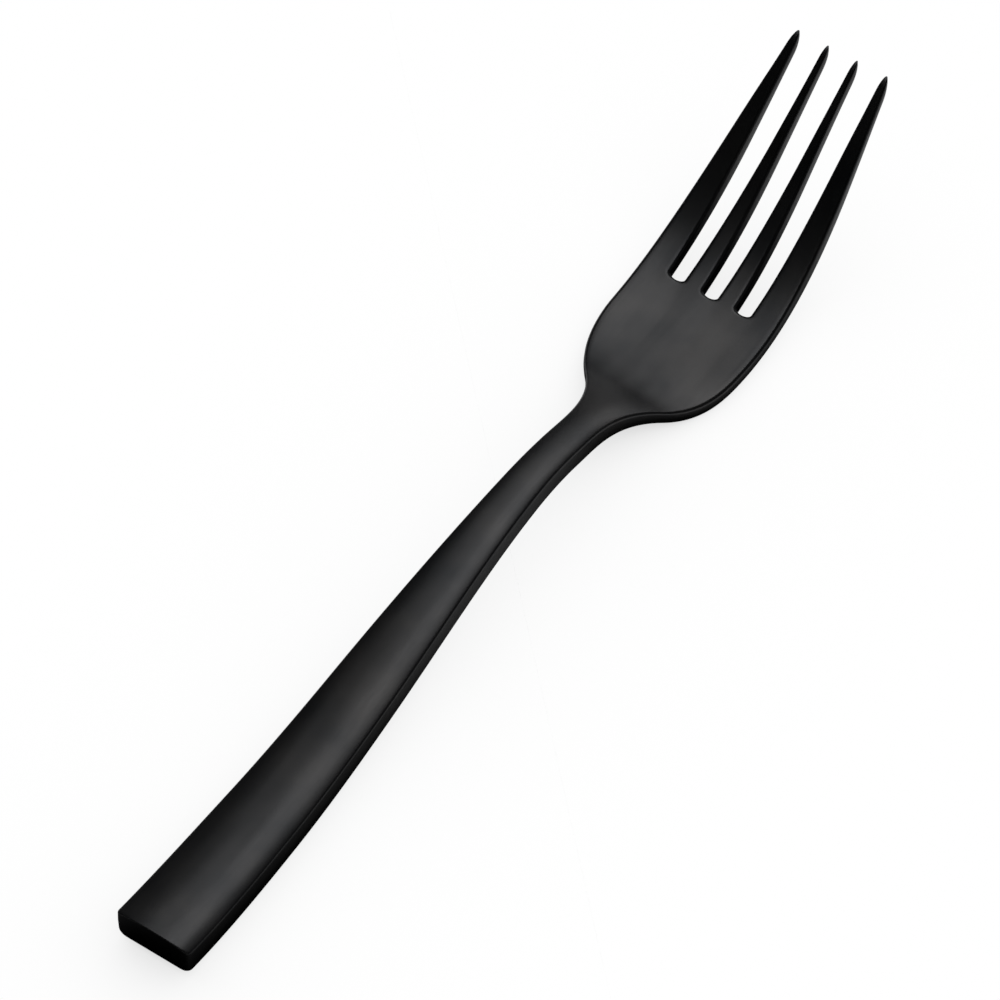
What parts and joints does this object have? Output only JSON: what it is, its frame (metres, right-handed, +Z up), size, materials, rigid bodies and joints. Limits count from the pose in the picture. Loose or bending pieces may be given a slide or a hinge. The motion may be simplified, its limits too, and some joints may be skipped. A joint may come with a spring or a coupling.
{
  "type": "salad fork",
  "caption": "Black coated table fork with a shallow bowl, tapered tines bent upward and a hollow handle that widens to a flat square butt.",
  "frame": {"origin": "on the table, under the middle of the fork's length and width", "axes": "+X along the fork from the butt to the tine tips, +Y across it, +Z up, with the bowl's hollow facing up"},
  "size_m": [0.18, 0.025, 0.0261],
  "materials": {
    "black_steel": "satin black coating on stainless steel",
    "filler_resin": "cast mineral filled resin"
  },
  "bodies": {
    "root": {"fork_head": "black_steel", "handle_top_shell": "black_steel", "handle_bottom_shell": "black_steel", "butt_cap": "black_steel", "handle_filler": "filler_resin"}
  },
  "joints": []
}
